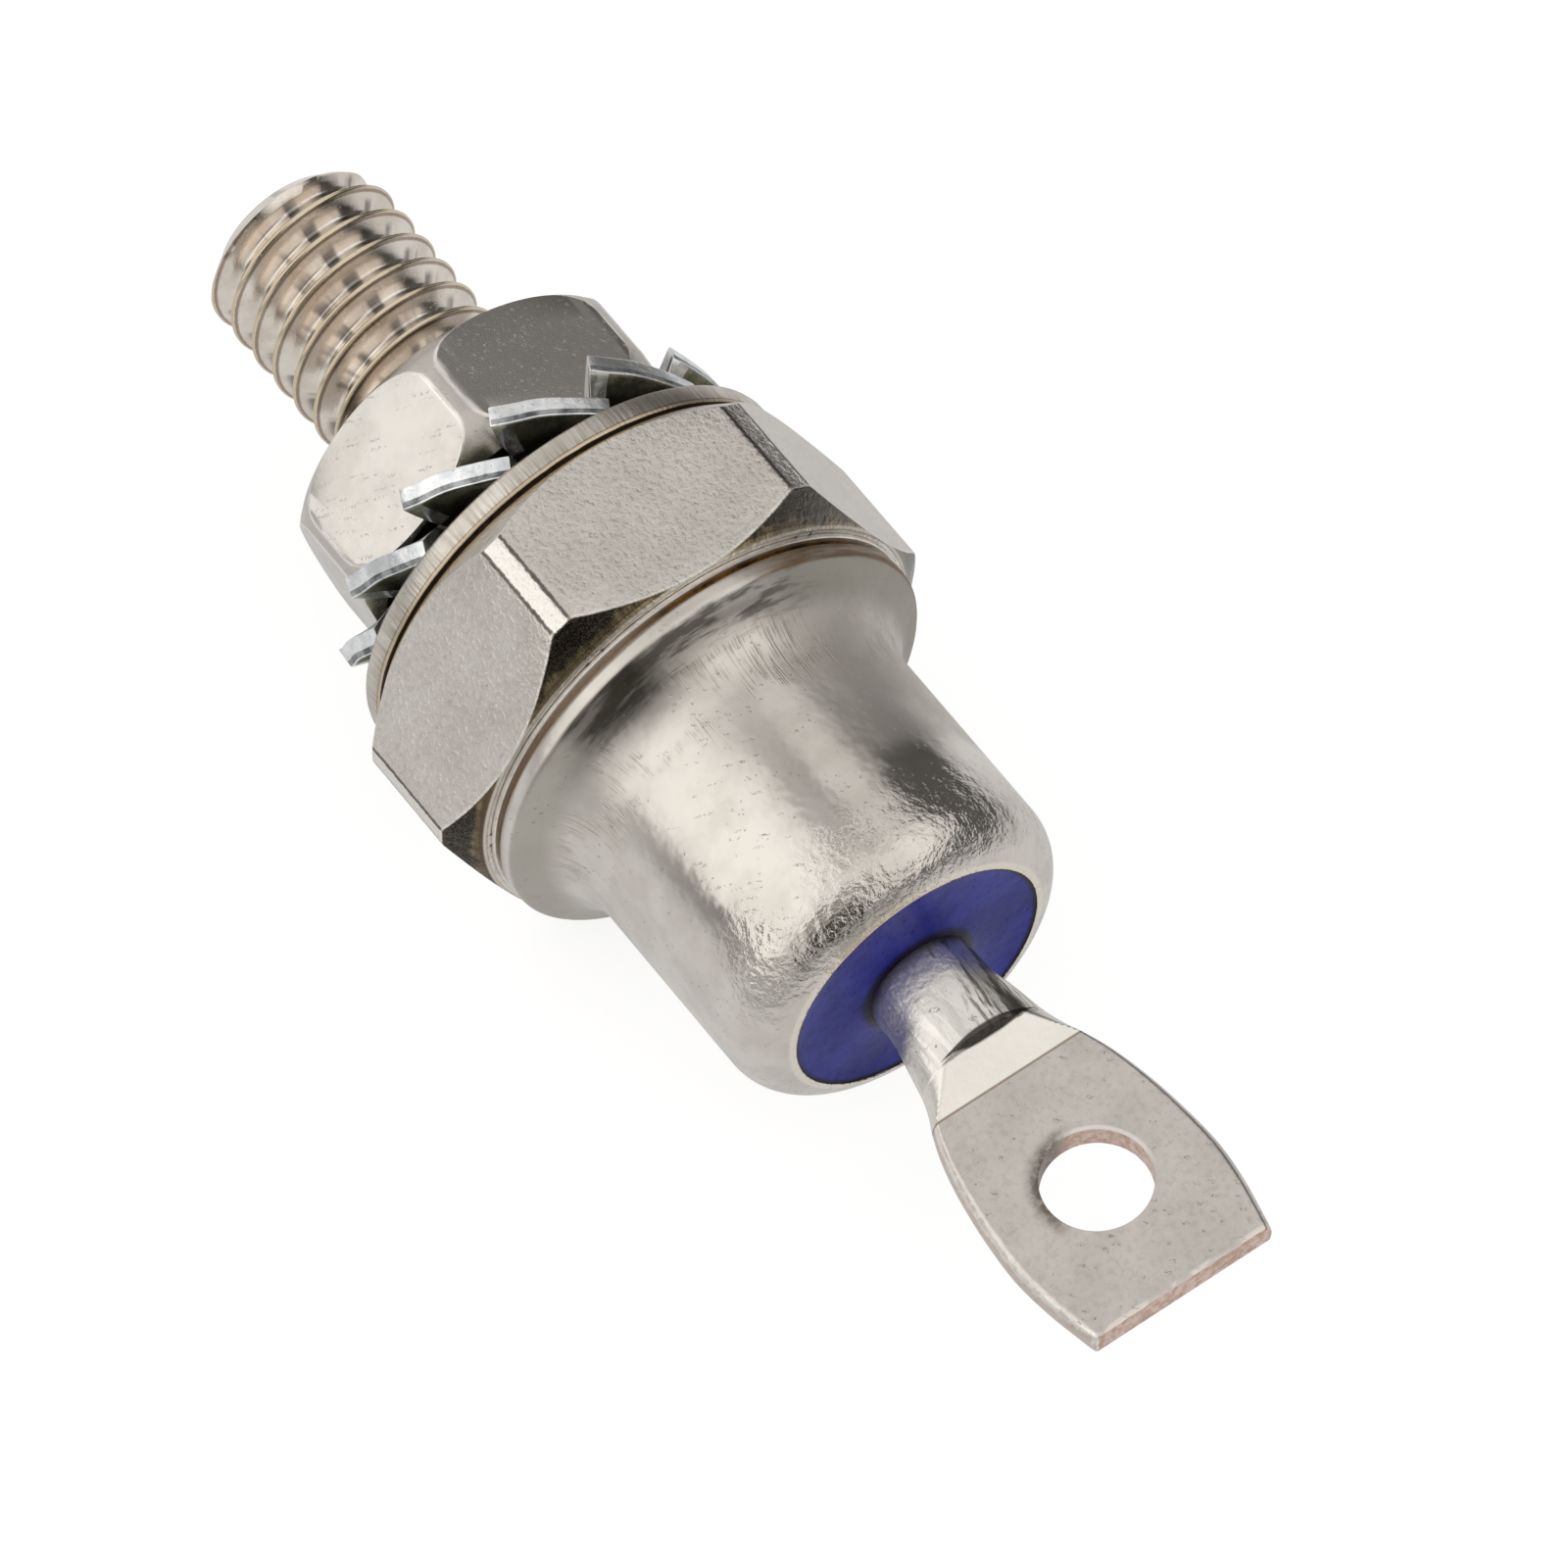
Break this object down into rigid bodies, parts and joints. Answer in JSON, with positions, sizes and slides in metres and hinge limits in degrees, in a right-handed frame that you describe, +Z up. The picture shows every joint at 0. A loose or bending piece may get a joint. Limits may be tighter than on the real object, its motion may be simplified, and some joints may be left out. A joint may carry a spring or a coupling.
{
  "type": "stud diode",
  "caption": "Stud-mounted power diode: hexagon base with a stud, washers and a nut, round metal cap, glass seal and a tube terminal flattened to a lug with a hole.",
  "frame": {"origin": "on the diode's axis, in the seat plane of its hexagon", "axes": "+X along the axis from the stud towards the terminal, +Z up, away from the hexagon flat that the diode lies on"},
  "size_m": [0.0331, 0.0124, 0.011],
  "materials": {
    "base_metal": "nickel plate on copper, satin, finely pitted",
    "ring_metal": "nickel plate, golden brown in the weld gap",
    "cap_metal": "nickel plate, satin, with drawing lines at the foot",
    "seal_glass": "dark blue, fused, slightly pitted",
    "terminal_metal": "nickel plate on copper, bare copper at the cut edges",
    "washer_metal": "bright plated, sheared rim",
    "star_metal": "zinc plate, slightly blue",
    "nut_metal": "nickel plate, satin",
    "solder": "dull",
    "molybdenum": "ground",
    "silicon": "smooth",
    "copper": "drawn wire",
    "coating": "cured silicone"
  },
  "bodies": {
    "root": {"stud_base": "base_metal", "weld_ring": "ring_metal", "base_solder": "solder", "lower_disc": "molybdenum", "die_solder_lower": "solder", "silicon_die": "silicon", "die_solder_upper": "solder", "upper_disc": "molybdenum", "lead_solder": "solder", "inner_lead": "copper", "junction_coating": "coating", "cap_shell": "cap_metal", "glass_seal": "seal_glass", "terminal_tube": "terminal_metal", "flat_washer": "washer_metal", "star_washer": "star_metal", "hex_nut": "nut_metal"}
  },
  "joints": []
}
